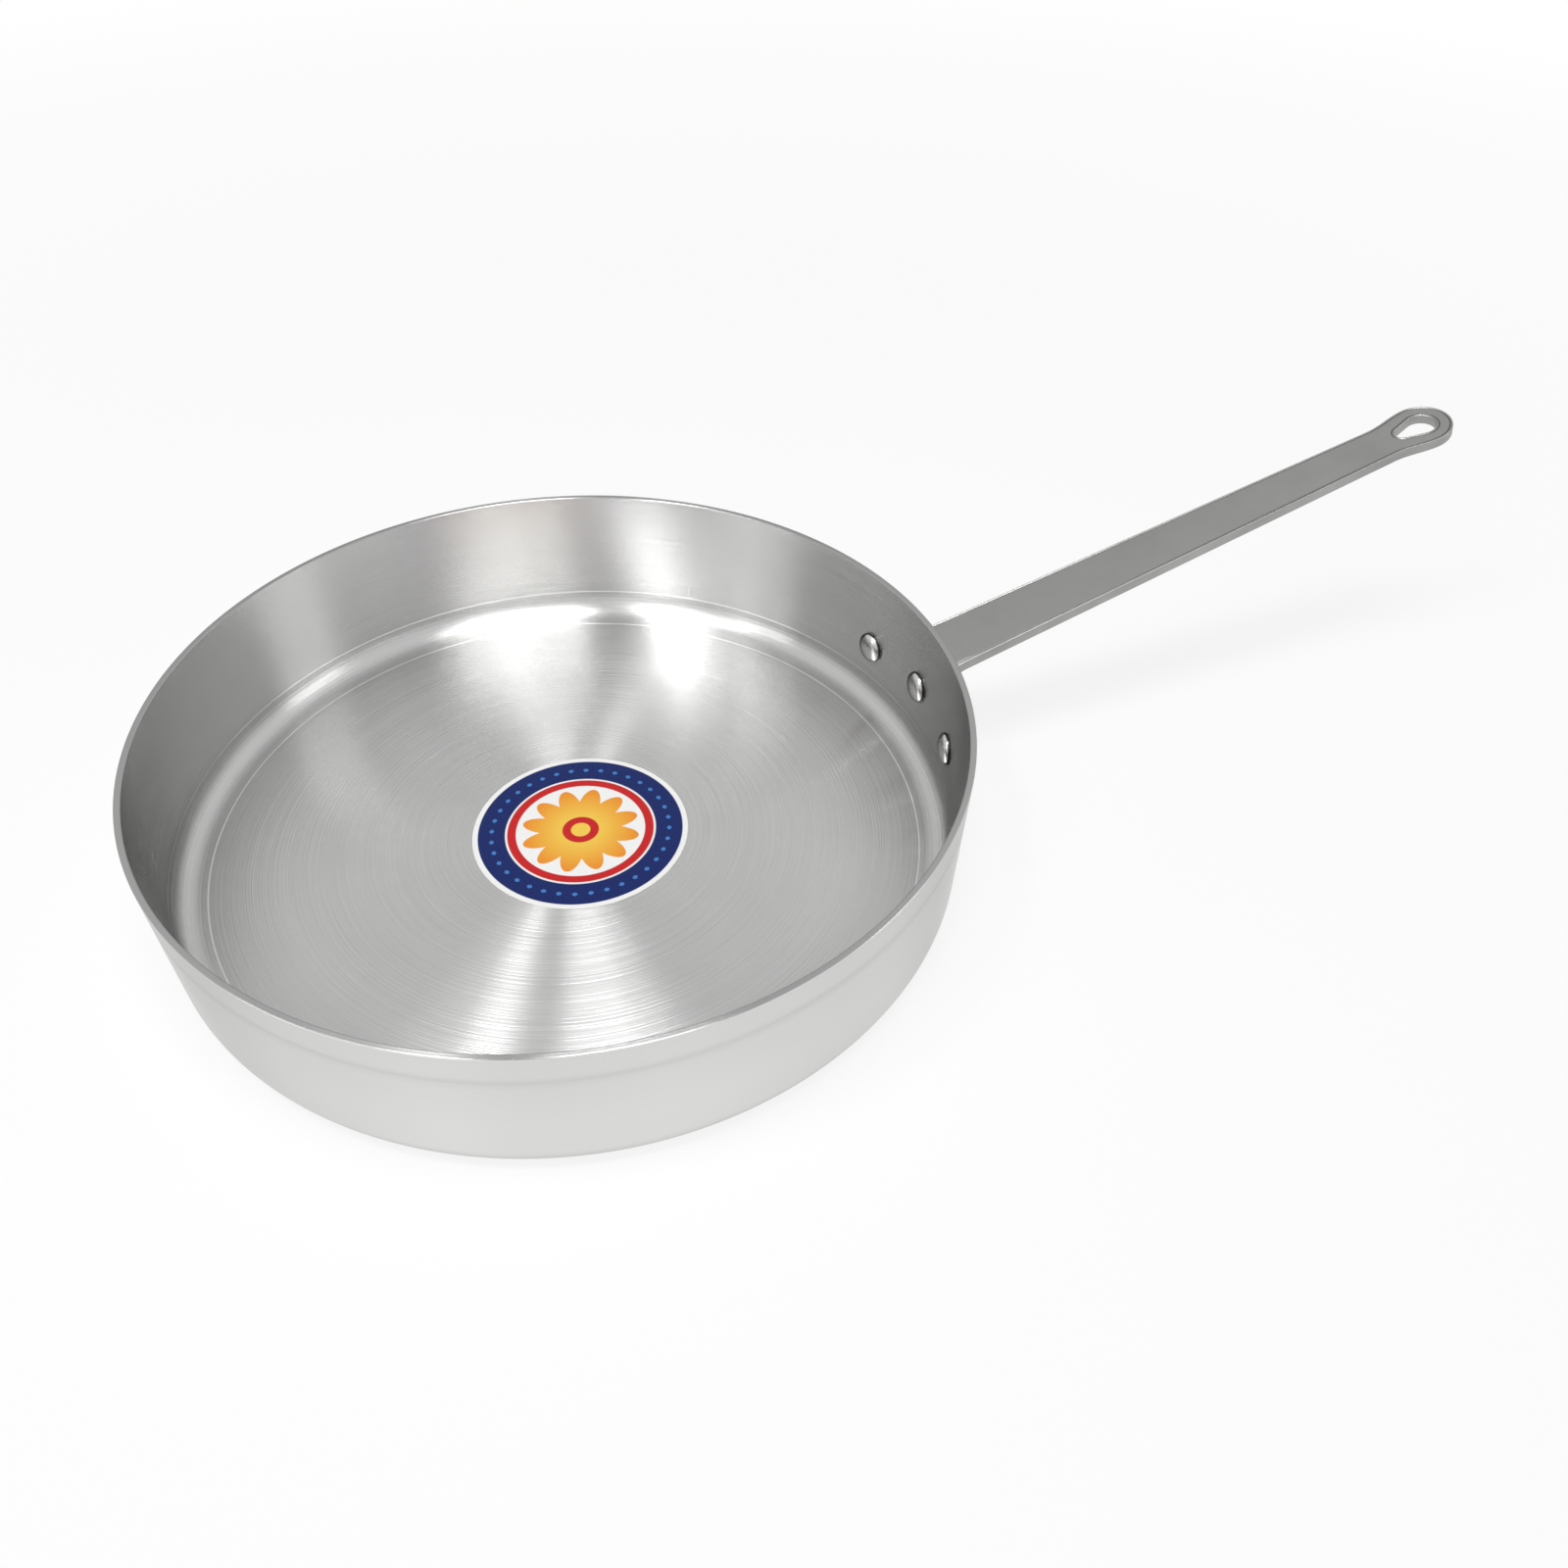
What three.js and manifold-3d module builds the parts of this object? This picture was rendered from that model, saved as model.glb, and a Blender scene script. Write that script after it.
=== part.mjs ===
// Saute pan: a spun aluminium vessel, a bent steel handle held by three solid rivets, and a shelf label.
// Millimetres. +Z is up, +X runs out along the handle, and the origin is the centre of the base underside.

import * as THREE from "three";
import { mergeVertices } from "three/addons/utils/BufferGeometryUtils.js";
import Module from "manifold-3d";

const wasm = await Module();
wasm.setup();

// Vessel sizes
const rimRadius = 178;
const panHeight = 72;
const wallThickness = 2.8;
const floorThickness = 5;
const wallDraftDegrees = 3.5;
const innerFilletRadius = 11.5;
const outerCornerRadius = 11;
const rimRounding = 0.5;

// Turned ring that marks the edge of the cooking floor
const ringInset = 2;
const ringWidth = 1.6;
const ringDepth = 0.4;

// Handle strip and its seat on the wall
const handleThickness = 5;
const handleRiseDegrees = 13.85;
const handleDrop = 15.4;
const rootWidth = 31.8;
const neckWidth = 22.2;
const bendRadius = 10;
const seatGap = 0.3;
const flangeLow = 17;
const armHeight = 27;
const armSpan = 110;
const armCorner = 9;
const shoulderRise = 14;

// Eye at the end of the handle, with its drop-shaped hanging hole
const handleReach = 282.5;
const eyeRadius = 14.4;
const flareLength = 22;
const holeBigRadius = 6.9;
const holeSmallRadius = 3.8;
const holeSpan = 10.3;

// Rivets
const rivetHeight = 33.3;
const middleRivetRise = 4;
const rivetSpacing = 41.2;
const rivetHeadRadius = 7.3;
const rivetHeadHeight = 3.6;
const rivetShankRadius = 3.4;
const rivetTailRadius = 6.2;
const rivetTailHeight = 2.6;
const rivetEdge = 0.6;
const rivetEdgeTuck = 0.25;
const rivetClearance = 0.3;

// Label on the floor
const labelRadius = 48.8;
const labelThickness = 0.3;
const labelShiftX = 4.5;
const labelShiftY = -1;

// Fineness of the round shapes
const turnSteps = 96;
const arcSteps = 6;
const domeSteps = 6;
const rivetSteps = 24;
const labelSteps = 64;
const bendSteps = 7;
const cornerSteps = 4;
const eyeSteps = 9;
const acrossSteps = 10;
const holeSteps = 14;

// Share of the rim rounding left at the middle of its corner, and how far cutters run past their work
const cornerShare = 0.3;
const cutterOverrun = 10;

const radians = THREE.MathUtils.degToRad;
const draft = radians(wallDraftDegrees);
const rise = radians(handleRiseDegrees);

// Radius of the outer and inner wall faces at a height
const outerRadiusAt = (z) => rimRadius - (panHeight - z) * Math.tan(draft);
const innerRadiusAt = (z) => outerRadiusAt(z) - wallThickness / Math.cos(draft);

// Turn a geometry into a closed solid that can be joined and cut
function solidOf(geometry) {
  const bare = geometry.clone();
  bare.deleteAttribute("normal");
  bare.deleteAttribute("uv");
  const merged = mergeVertices(bare, 1e-4);
  const corners = merged.index.array;
  const kept = [];
  for (let i = 0; i < corners.length; i += 3) {
    const a = corners[i];
    const b = corners[i + 1];
    const c = corners[i + 2];
    if (a !== b && b !== c && c !== a) kept.push(a, b, c);
  }
  const mesh = new wasm.Mesh({
    numProp: 3,
    vertProperties: new Float32Array(merged.attributes.position.array),
    triVerts: new Uint32Array(kept),
  });
  return new wasm.Manifold(mesh);
}

// Turn a solid back into a geometry with flat-shaded faces
function geometryOf(solid) {
  const mesh = solid.getMesh();
  const geometry = new THREE.BufferGeometry();
  geometry.setAttribute("position", new THREE.BufferAttribute(new Float32Array(mesh.vertProperties), 3));
  geometry.setIndex(new THREE.BufferAttribute(new Uint32Array(mesh.triVerts), 1));
  geometry.computeVertexNormals();
  return geometry;
}

// Spin a profile of radius and height pairs about the vertical axis
function turned(profile, steps) {
  const geometry = new THREE.LatheGeometry(profile, steps);
  geometry.rotateX(Math.PI / 2);
  return geometry;
}

// Points of a corner arc that leaves a level face and meets the sloping wall
function cornerArc(cornerRadius, level, radius) {
  const run = radius / Math.tan((Math.PI / 2 + draft) / 2);
  const centreR = cornerRadius - run;
  const points = [];
  for (let i = 0; i <= arcSteps; i += 1) {
    const angle = -Math.PI / 2 + (i / arcSteps) * (Math.PI / 2 - draft);
    const r = centreR + radius * Math.cos(angle);
    const z = level + radius + radius * Math.sin(angle);
    points.push(new THREE.Vector2(r, z));
  }
  return points;
}

// Vessel: base, outer corner, wall, rounded rim, inner wall, fillet, turned ring and floor
function panProfile() {
  const outerArc = cornerArc(outerRadiusAt(0), 0, outerCornerRadius);
  const innerArc = cornerArc(innerRadiusAt(floorThickness), floorThickness, innerFilletRadius);
  const rimInner = innerRadiusAt(panHeight);
  const ringCentre = innerArc[0].x - ringInset - ringWidth / 2;
  const soft = rimRounding * cornerShare;
  return [
    new THREE.Vector2(0, 0),
    ...outerArc,
    new THREE.Vector2(outerRadiusAt(panHeight - rimRounding), panHeight - rimRounding),
    new THREE.Vector2(outerRadiusAt(panHeight) - soft, panHeight - soft),
    new THREE.Vector2(outerRadiusAt(panHeight) - rimRounding, panHeight),
    new THREE.Vector2(rimInner + rimRounding, panHeight),
    new THREE.Vector2(rimInner + soft, panHeight - soft),
    new THREE.Vector2(innerRadiusAt(panHeight - rimRounding), panHeight - rimRounding),
    ...innerArc.reverse(),
    new THREE.Vector2(ringCentre + ringWidth / 2, floorThickness),
    new THREE.Vector2(ringCentre + ringWidth / 6, floorThickness - ringDepth),
    new THREE.Vector2(ringCentre - ringWidth / 6, floorThickness - ringDepth),
    new THREE.Vector2(ringCentre - ringWidth / 2, floorThickness),
    new THREE.Vector2(0, floorThickness),
  ];
}

// Handle centre line: up the wall, round the bend, then out along the bar
const wallWay = new THREE.Vector2(Math.sin(draft), Math.cos(draft));
const barWay = new THREE.Vector2(Math.cos(rise), Math.sin(rise));
const wallFace = new THREE.Vector2(-wallWay.y, wallWay.x);
const barFace = new THREE.Vector2(-barWay.y, barWay.x);
const halfSheet = handleThickness / 2;
const flangeFoot = new THREE.Vector2(outerRadiusAt(flangeLow), flangeLow)
  .addScaledVector(wallFace, -(seatGap + halfSheet));
const barMark = new THREE.Vector2(rimRadius, panHeight - handleDrop).addScaledVector(barFace, -halfSheet);
const crossing = crossPoint(flangeFoot, wallWay, barMark, barWay);
const bendAngle = Math.PI / 2 - draft - rise;
const midBend = bendRadius + halfSheet;
const bendRun = midBend * Math.tan(bendAngle / 2);
const bendStart = crossing.clone().sub(flangeFoot).dot(wallWay) - bendRun;
const bendLength = midBend * bendAngle;
const bendCentre = flangeFoot.clone().addScaledVector(wallWay, bendStart).addScaledVector(wallFace, -midBend);
const barStart = bendStart + bendLength;
const barEntry = crossing.clone().addScaledVector(barWay, bendRun);
const tipStation = barStart + barMark.clone().sub(barEntry).dot(barWay) + handleReach;
const eyeStation = tipStation - eyeRadius;
const flareStation = eyeStation - flareLength;
const tipTurn = radians(85);

// Crossing of two lines, each a point and a direction
function crossPoint(p, u, q, v) {
  const t = q.clone().sub(p).cross(v) / u.cross(v);
  return p.clone().addScaledVector(u, t);
}

// Point of the sheet's middle and the direction of its upper face at a station along the strip
function stripFrame(s) {
  if (s <= bendStart) {
    return { at: flangeFoot.clone().addScaledVector(wallWay, s), face: wallFace.clone() };
  }
  if (s >= barStart) {
    return { at: barEntry.clone().addScaledVector(barWay, s - barStart), face: barFace.clone() };
  }
  const turn = (s - bendStart) / midBend;
  const face = wallFace.clone().rotateAround(new THREE.Vector2(0, 0), -turn);
  return { at: bendCentre.clone().addScaledVector(face, midBend), face };
}

// Half of the strip's width at a station: wide arms, shoulders, tapered bar, flared eye
function halfWidthAt(s) {
  const arms = armSpan / 2;
  const shoulderTop = armHeight + shoulderRise;
  if (s < armCorner) return arms - armCorner + Math.sqrt(armCorner ** 2 - (armCorner - s) ** 2);
  if (s < armHeight) return arms;
  const taper = (s - shoulderTop) / (flareStation - shoulderTop);
  const bar = THREE.MathUtils.lerp(rootWidth, neckWidth, THREE.MathUtils.clamp(taper, 0, 1)) / 2;
  if (s < shoulderTop) {
    return THREE.MathUtils.lerp(arms, rootWidth / 2, THREE.MathUtils.smoothstep(s, armHeight, shoulderTop));
  }
  if (s <= flareStation) return bar;
  if (s <= eyeStation) {
    return THREE.MathUtils.lerp(bar, eyeRadius, THREE.MathUtils.smoothstep(s, flareStation, eyeStation));
  }
  return Math.sqrt(Math.max(eyeRadius ** 2 - (s - eyeStation) ** 2, 0));
}

// Stations along the strip, close together where its outline or its bend changes
function stripStations() {
  const list = [0];
  const span = (from, to, steps) => {
    for (let i = 1; i <= steps; i += 1) list.push(from + ((to - from) * i) / steps);
  };
  for (let i = 1; i <= cornerSteps; i += 1) {
    list.push(armCorner * (1 - Math.cos((i / cornerSteps) * (Math.PI / 2))));
  }
  span(armCorner, armHeight, 2);
  span(armHeight, armHeight + shoulderRise, bendSteps);
  span(bendStart, barStart, bendSteps);
  span(barStart, flareStation, 4);
  span(flareStation, eyeStation, 6);
  for (let i = 1; i <= eyeSteps; i += 1) {
    list.push(eyeStation + eyeRadius * Math.sin((i / eyeSteps) * tipTurn));
  }
  list.sort((a, b) => a - b);
  const kept = [];
  for (const s of list) {
    if (kept.length === 0 || s - kept[kept.length - 1] > 0.02) kept.push(s);
  }
  return kept;
}

// Handle sheet: a flat box bent to the wall at its foot and straightened out along the bar
function stripSheet() {
  const stations = stripStations();
  const along = stations.length - 1;
  const geometry = new THREE.BoxGeometry(1, 1, 1, along, acrossSteps, 1);
  const spots = geometry.attributes.position;
  for (let i = 0; i < spots.count; i += 1) {
    const s = stations[Math.round((spots.getX(i) + 0.5) * along)];
    const sideways = 2 * spots.getY(i) * halfWidthAt(s);
    const frame = stripFrame(s);
    const spot = frame.at.clone().addScaledVector(frame.face, spots.getZ(i) * handleThickness);
    const straight = THREE.MathUtils.smoothstep(s, armHeight + shoulderRise * 0.5, barStart);
    const curl = (1 - straight) / spot.x;
    const bent = curl * sideways;
    const flat = curl < 1e-9;
    const x = flat ? spot.x : spot.x - (1 - Math.cos(bent)) / curl;
    const y = flat ? sideways : Math.sin(bent) / curl;
    spots.setXYZ(i, x, y, spot.y);
  }
  return geometry;
}

// Drop-shaped cutter for the hanging hole, set square to the bar
function hangingHole() {
  const lean = Math.asin((holeBigRadius - holeSmallRadius) / holeSpan);
  const shape = new THREE.Shape();
  shape.absarc(0, 0, holeBigRadius, -(Math.PI / 2 + lean), Math.PI / 2 + lean, false);
  shape.absarc(-holeSpan, 0, holeSmallRadius, Math.PI / 2 + lean, Math.PI * 1.5 - lean, false);
  shape.closePath();
  const depth = handleThickness + 2 * cutterOverrun;
  const geometry = new THREE.ExtrudeGeometry(shape, { depth, bevelEnabled: false, curveSegments: holeSteps });
  geometry.translate(0, 0, -depth / 2);
  const frame = stripFrame(eyeStation);
  const place = new THREE.Matrix4().makeBasis(
    new THREE.Vector3(barWay.x, 0, barWay.y),
    new THREE.Vector3(0, 1, 0),
    new THREE.Vector3(barFace.x, 0, barFace.y),
  );
  place.setPosition(frame.at.x, 0, frame.at.y);
  return geometry.applyMatrix4(place);
}

// Rivets stand on the inner wall face, square to the wall; the middle one sits a little higher
const rivetPlaces = [
  { name: "rivet_left", turn: 1, lift: 0 },
  { name: "rivet_middle", turn: 0, lift: middleRivetRise },
  { name: "rivet_right", turn: -1, lift: 0 },
];

// Matrix that takes a shape turned about Z to a rivet place, its +Z pointing out through the wall
function rivetMatrix(place) {
  const z = rivetHeight + place.lift;
  const r = innerRadiusAt(z);
  const around = (place.turn * rivetSpacing) / innerRadiusAt(rivetHeight);
  const outward = new THREE.Vector3(Math.cos(draft), 0, -Math.sin(draft));
  const side = new THREE.Vector3(0, 1, 0);
  const up = new THREE.Vector3().crossVectors(side, outward);
  const matrix = new THREE.Matrix4().makeBasis(up, side, outward);
  matrix.setPosition(r, 0, z);
  return matrix.premultiply(new THREE.Matrix4().makeRotationZ(around));
}

// Stack that the rivet clamps: wall, seat gap and handle sheet
const grip = wallThickness + seatGap + handleThickness;

// Rivet: domed head inside the pan, straight shank, lower upset head behind the handle
function rivetProfile() {
  const headFace = -rivetClearance;
  const tailFace = grip + rivetClearance;
  const points = [];
  for (let i = 0; i <= domeSteps; i += 1) {
    const angle = (i / domeSteps) * (Math.PI / 2);
    const r = rivetHeadRadius * Math.sin(angle);
    const depth = rivetEdge + (rivetHeadHeight - rivetEdge) * Math.cos(angle);
    points.push(new THREE.Vector2(r, headFace - depth));
  }
  points.push(new THREE.Vector2(rivetHeadRadius - rivetEdgeTuck, headFace));
  points.push(new THREE.Vector2(rivetShankRadius, headFace));
  points.push(new THREE.Vector2(rivetShankRadius, tailFace));
  points.push(new THREE.Vector2(rivetTailRadius - rivetEdgeTuck, tailFace));
  points.push(new THREE.Vector2(rivetTailRadius, tailFace + rivetTailHeight * 0.35));
  points.push(new THREE.Vector2(rivetTailRadius * 0.9, tailFace + rivetTailHeight * 0.72));
  points.push(new THREE.Vector2(rivetTailRadius * 0.66, tailFace + rivetTailHeight));
  points.push(new THREE.Vector2(0, tailFace + rivetTailHeight));
  return points;
}

// Clearance hole through wall and handle for one rivet
function rivetHole(place) {
  const reach = grip + 2 * cutterOverrun;
  const radius = rivetShankRadius + rivetClearance;
  const geometry = new THREE.CylinderGeometry(radius, radius, reach, rivetSteps);
  geometry.rotateX(Math.PI / 2);
  geometry.translate(0, 0, grip / 2);
  return solidOf(geometry.applyMatrix4(rivetMatrix(place)));
}

// Assemble the named pieces
const part = new THREE.Group();
part.name = "saute_pan";

function addPiece(name, geometry, color, metalness, roughness) {
  const material = new THREE.MeshStandardMaterial({ color, metalness, roughness });
  material.name = name;
  const mesh = new THREE.Mesh(geometry, material);
  mesh.name = name;
  part.add(mesh);
}

let vessel = solidOf(turned(panProfile(), turnSteps));
let handle = solidOf(stripSheet()).subtract(solidOf(hangingHole()));
for (const place of rivetPlaces) {
  const hole = rivetHole(place);
  vessel = vessel.subtract(hole);
  handle = handle.subtract(hole);
}
addPiece("pan_body", geometryOf(vessel), 0xb4b4b2, 1, 0.35);
addPiece("handle", geometryOf(handle), 0x9c9b98, 1, 0.42);
for (const place of rivetPlaces) {
  const geometry = turned(rivetProfile(), rivetSteps).applyMatrix4(rivetMatrix(place));
  addPiece(place.name, geometryOf(solidOf(geometry)), 0xc2c1bd, 1, 0.25);
}

const labelDisc = new THREE.CylinderGeometry(labelRadius, labelRadius, labelThickness, labelSteps);
labelDisc.rotateX(Math.PI / 2);
labelDisc.translate(labelShiftX, labelShiftY, floorThickness + labelThickness / 2);
addPiece("label", labelDisc, 0x2d5fa8, 0, 0.4);

export default part;
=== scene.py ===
"""Saute pan: a turned aluminium vessel, a riveted steel handle and a round printed label.

The file is laid out as an add-on and is run as a script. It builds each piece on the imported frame, in
metres, with +Z up and +X along the handle, and then sets a plain white stage, soft lamps and the camera.
"""

import math

import bmesh
import bpy
from bpy.props import FloatProperty, FloatVectorProperty, IntProperty, PointerProperty
from mathutils import Matrix, Vector


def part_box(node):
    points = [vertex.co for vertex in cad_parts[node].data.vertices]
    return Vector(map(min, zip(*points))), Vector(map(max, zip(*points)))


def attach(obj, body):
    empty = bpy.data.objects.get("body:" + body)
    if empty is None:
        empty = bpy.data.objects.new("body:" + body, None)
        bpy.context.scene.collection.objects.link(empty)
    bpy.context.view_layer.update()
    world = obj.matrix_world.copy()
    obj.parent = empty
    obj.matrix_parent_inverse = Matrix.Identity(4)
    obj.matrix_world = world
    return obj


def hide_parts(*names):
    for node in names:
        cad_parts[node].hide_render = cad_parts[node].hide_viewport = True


bl_info = {
    "name": "Saute Pan",
    "version": (1, 0, 0),
    "blender": (4, 5, 0),
    "location": "View3D > Sidebar > Saute Pan",
    "description": "Builds a riveted saute pan with turned metal finishes on a plain white stage",
    "category": "Object",
}

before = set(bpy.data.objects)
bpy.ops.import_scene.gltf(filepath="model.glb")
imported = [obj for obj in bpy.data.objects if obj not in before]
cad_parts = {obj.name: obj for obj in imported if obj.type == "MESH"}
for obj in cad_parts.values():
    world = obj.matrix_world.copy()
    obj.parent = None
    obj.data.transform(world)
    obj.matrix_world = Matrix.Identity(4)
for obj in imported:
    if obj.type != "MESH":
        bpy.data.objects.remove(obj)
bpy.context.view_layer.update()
VESSEL_LOW, VESSEL_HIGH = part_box("pan_body")
LABEL_LOW, LABEL_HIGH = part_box("label")
MM = 0.001
# Distance or curl that counts as none
TINY = 1e-6
# Name of the mark that places painted shade, in the handle's crease and round each rivet head
CREASE = "crease"


def length(label, description, default):
    """A size in metres, shown with Blender's length unit."""
    return FloatProperty(name=label, description=description, default=default, precision=5, unit="LENGTH")


def turn(label, description, degrees):
    """An angle, shown in degrees."""
    radians = math.radians(degrees)
    return FloatProperty(name=label, description=description, default=radians, subtype="ANGLE")


def share(label, description, default):
    """A share from zero to one."""
    return FloatProperty(
        name=label, description=description, default=default, min=0.0, max=1.0, subtype="FACTOR"
    )


def colour(label, description, default):
    """A linear colour."""
    return FloatVectorProperty(
        name=label, description=description, default=default, size=3, min=0.0, max=1.0, subtype="COLOR"
    )


def level(label, description, default):
    """A plain number with no unit."""
    return FloatProperty(name=label, description=description, default=default)


class VesselSizes(bpy.types.PropertyGroup):
    """Sizes and finish of the turned vessel."""

    rim_radius: length("Rim radius", "Outer radius at the rim", VESSEL_HIGH[0])
    height: length("Height", "Height from base to rim", VESSEL_HIGH[2])
    wall: length("Wall", "Thickness of the wall", 2.8 * MM)
    floor: length("Floor", "Thickness of the floor", 5.0 * MM)
    draft: turn("Draft", "Outward lean of the wall", 3.5)
    inner_fillet: length("Inner fillet", "Radius between floor and wall inside", 11.5 * MM)
    outer_corner: length("Outer corner", "Radius between base and wall outside", 11.0 * MM)
    rim_round: length("Rim rounding", "Radius of the rim's two edges", 0.5 * MM)
    ring_inset: length("Ring inset", "Distance from fillet to the turned ring", 2.0 * MM)
    ring_width: length("Ring width", "Width of the turned ring", 0.9 * MM)
    ring_depth: length("Ring depth", "Depth of the turned ring", 0.08 * MM)
    # Painted highlights: how much brighter the colour is made on the turned ring and on the fine tool line
    ring_painted_highlight: share("Ring gleam", "How much brighter the turned ring is", 0.7)
    line_painted_highlight: share("Tool line gleam", "How much brighter the fine line above the fillet is", 0.35)
    line_depth: length("Tool line", "Depth of the fine line above the fillet", 0.07 * MM)
    line_width: length("Tool line width", "Width of the fine line above the fillet", 0.7 * MM)
    steps: IntProperty(name="Steps", description="Steps round the vessel", default=288, min=48)
    # Painted light and shade: the same aluminium gets a darker colour inside the pan and a lighter one
    # outside
    metal: colour("Metal inside", "Colour of the turned aluminium inside", (0.69, 0.69, 0.683))
    metal_outside: colour("Metal outside", "Colour of the smoother aluminium outside", (0.77, 0.77, 0.758))
    # The line outside is a shallow turned groove; its darker colour is painted shade
    band_drop: length("Band drop", "Distance from the rim to the burnished line outside", 15.0 * MM)
    band_width: length("Band width", "Width of the burnished line outside", 4.0 * MM)
    band_depth: length("Band depth", "Depth of the burnished line outside", 0.12 * MM)
    # Painted shade: the rim's top gets a darker colour where it shows a darker reflection
    rim_painted_shade: share("Rim tone", "Brightness of the rim's top", 0.7)
    # Painted shade: darker colour on the inner fillet and the floor's outer edge
    fillet_painted_shade: share("Fillet tone", "Brightness of the fillet and the floor's edge", 0.91)
    # Painted shade: the outer wall's colour darkens toward the rim
    upper_painted_shade: share("Upper tone", "Brightness of the upper wall outside", 0.95)
    # Painted shade: darker colour in the turned groove below the rim
    band_painted_shade: share("Band tone", "Brightness of the burnished line outside", 0.92)
    # Painted shadow: darker colour at the base's edge where the pan meets the floor
    base_painted_shadow: share("Base edge tone", "Brightness of the base's edge", 0.55)
    shine: share("Roughness", "Mean roughness of the turned aluminium", 0.25)
    grain: share("Grain", "Anisotropy of the turning marks", 1.0)
    mark_slope: level("Mark slope", "Steepness of the turning marks", 0.30)
    mark_pitch: length("Mark pitch", "Distance between turning marks", 0.5 * MM)


class HandleSizes(bpy.types.PropertyGroup):
    """Sizes and finish of the bent steel handle."""

    thickness: length("Thickness", "Thickness of the steel", 5.0 * MM)
    rise: turn("Rise", "Upward slope of the bar", 13.85)
    drop: length("Drop", "Height of the rim above the bar's top face at the rim", 15.4 * MM)
    root_width: length("Root width", "Width of the bar near the pan", 31.8 * MM)
    neck_width: length("Neck width", "Width of the bar before the eye", 22.2 * MM)
    bend: length("Bend radius", "Inside radius of the bend", 10.0 * MM)
    seat_gap: length("Seat gap", "Gap between wall and seat", 0.3 * MM)
    low: length("Seat height", "Height of the seat's lower edge above the base", 17.0 * MM)
    arm_height: length("Arm height", "Height of the seat's arms", 27.0 * MM)
    arm_span: length("Arm span", "Length of the seat along the wall", 110.0 * MM)
    arm_corner: length("Arm corner", "Corner radius of the arms", 9.0 * MM)
    shoulder: length("Shoulder", "Run from the arms to the bar", 14.0 * MM)
    reach: length("Reach", "Length of the bar from the rim to its tip", 282.5 * MM)
    eye_radius: length("Eye radius", "Outer radius of the eye", 14.4 * MM)
    flare: length("Flare", "Run over which the bar widens to the eye", 22.0 * MM)
    hole_big: length("Hole radius", "Radius of the hole's wide end", 6.9 * MM)
    hole_small: length("Hole small radius", "Radius of the hole's narrow end", 3.8 * MM)
    hole_span: length("Hole span", "Distance between the hole's two centres", 10.3 * MM)
    edge: length("Edge rounding", "Rounding of the stamped edges", 0.6 * MM)
    crease_inset: length("Crease inset", "Flat lip between edge and crease", 0.15 * MM)
    crease_width: length("Crease width", "Half width of the stamped crease", 0.6 * MM)
    crease_depth: length("Crease depth", "Depth of the stamped crease", 0.35 * MM)
    metal: colour("Metal", "Colour of the steel", (0.37, 0.37, 0.36))
    # Painted shade: dark colour in the stamped crease
    crease_painted_shade: colour("Crease", "Colour of the dull metal in the crease", (0.09, 0.09, 0.085))
    shine: share("Roughness", "Mean roughness of the steel", 0.40)


class RivetSizes(bpy.types.PropertyGroup):
    """Sizes and finish of the solid rivets."""

    height: length("Height", "Height of the outer rivets above the base", 33.3 * MM)
    middle_rise: length("Middle rise", "How much higher the middle rivet sits", 4.0 * MM)
    spacing: length("Spacing", "Distance between rivets along the wall", 41.2 * MM)
    head_radius: length("Head radius", "Radius of the domed head", 7.3 * MM)
    head_height: length("Head height", "Height of the domed head", 3.6 * MM)
    shank_radius: length("Shank radius", "Radius of the shank", 3.4 * MM)
    tail_radius: length("Tail radius", "Radius of the upset head", 6.2 * MM)
    tail_height: length("Tail height", "Height of the upset head", 2.6 * MM)
    edge: length("Edge", "Upright edge of the domed head", 0.6 * MM)
    clearance: length("Clearance", "Gap under each head", 0.3 * MM)
    steps: IntProperty(name="Steps", description="Steps round each rivet", default=64, min=16)
    metal: colour("Metal", "Colour of the rivets", (0.64, 0.64, 0.625))
    # Painted shade: dark colour round the head's edge
    edge_painted_shade: colour("Edge", "Colour of the dull metal at the head's edge", (0.10, 0.10, 0.095))
    shine: share("Roughness", "Roughness of the rivet heads", 0.22)


class LabelSizes(bpy.types.PropertyGroup):
    """Sizes and inks of the printed label."""

    radius: length("Radius", "Radius of the label", (LABEL_HIGH[0] - LABEL_LOW[0]) / 2)
    thickness: length("Thickness", "Thickness of the label", LABEL_HIGH[2] - LABEL_LOW[2])
    steps: IntProperty(name="Steps", description="Steps round the label", default=160, min=32)
    paper: colour("Paper", "Colour of the bare paper", (0.86, 0.86, 0.85))
    navy: colour("Navy", "Dark blue ink", (0.006, 0.018, 0.12))
    sky: colour("Blue", "Light blue ink", (0.055, 0.20, 0.52))
    red: colour("Red", "Red ink", (0.55, 0.018, 0.02))
    orange: colour("Orange", "Orange ink", (0.80, 0.26, 0.025))
    yellow: colour("Yellow", "Yellow ink", (0.86, 0.58, 0.09))


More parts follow.
